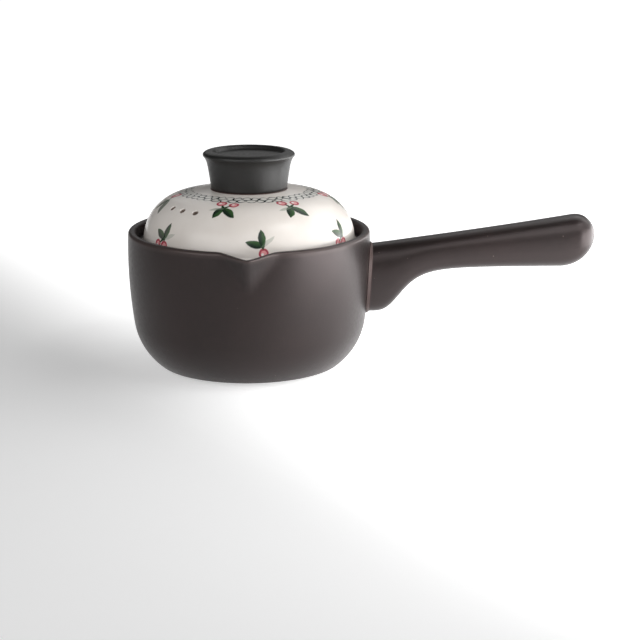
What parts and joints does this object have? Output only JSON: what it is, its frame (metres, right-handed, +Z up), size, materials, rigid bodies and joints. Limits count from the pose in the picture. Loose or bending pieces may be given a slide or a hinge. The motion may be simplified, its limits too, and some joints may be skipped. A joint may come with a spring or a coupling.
{
  "type": "lidded milk pan",
  "caption": "Ceramic milk pan with a bowed bowl, a pouring lip, a long hollow side handle and a loose domed lid with steam holes and a dished knob.",
  "frame": {"origin": "on the table, under the middle of the bowl, at the centre of the foot ring", "axes": "+Z up along the bowl's axis, +X along the handle from the bowl to the tip, -Y along the pouring lip"},
  "size_m": [0.3191, 0.1778, 0.1479],
  "materials": {
    "bowl_glaze": "satin",
    "lid_glaze": "gloss",
    "knob_glaze": "satin",
    "fired_slip": "matte"
  },
  "bodies": {
    "pot": {"pot_body": "bowl_glaze", "handle_slip_joint": "fired_slip", "handle": "bowl_glaze"},
    "lid": {"lid_dome": "lid_glaze", "knob_slip_joint": "fired_slip", "knob": "knob_glaze"}
  },
  "joints": [
    {"name": "lid_lift", "type": "slide", "parent": "pot", "child": "lid", "axis": [0, 0, 1], "range_m": [0, 0.1]}
  ]
}
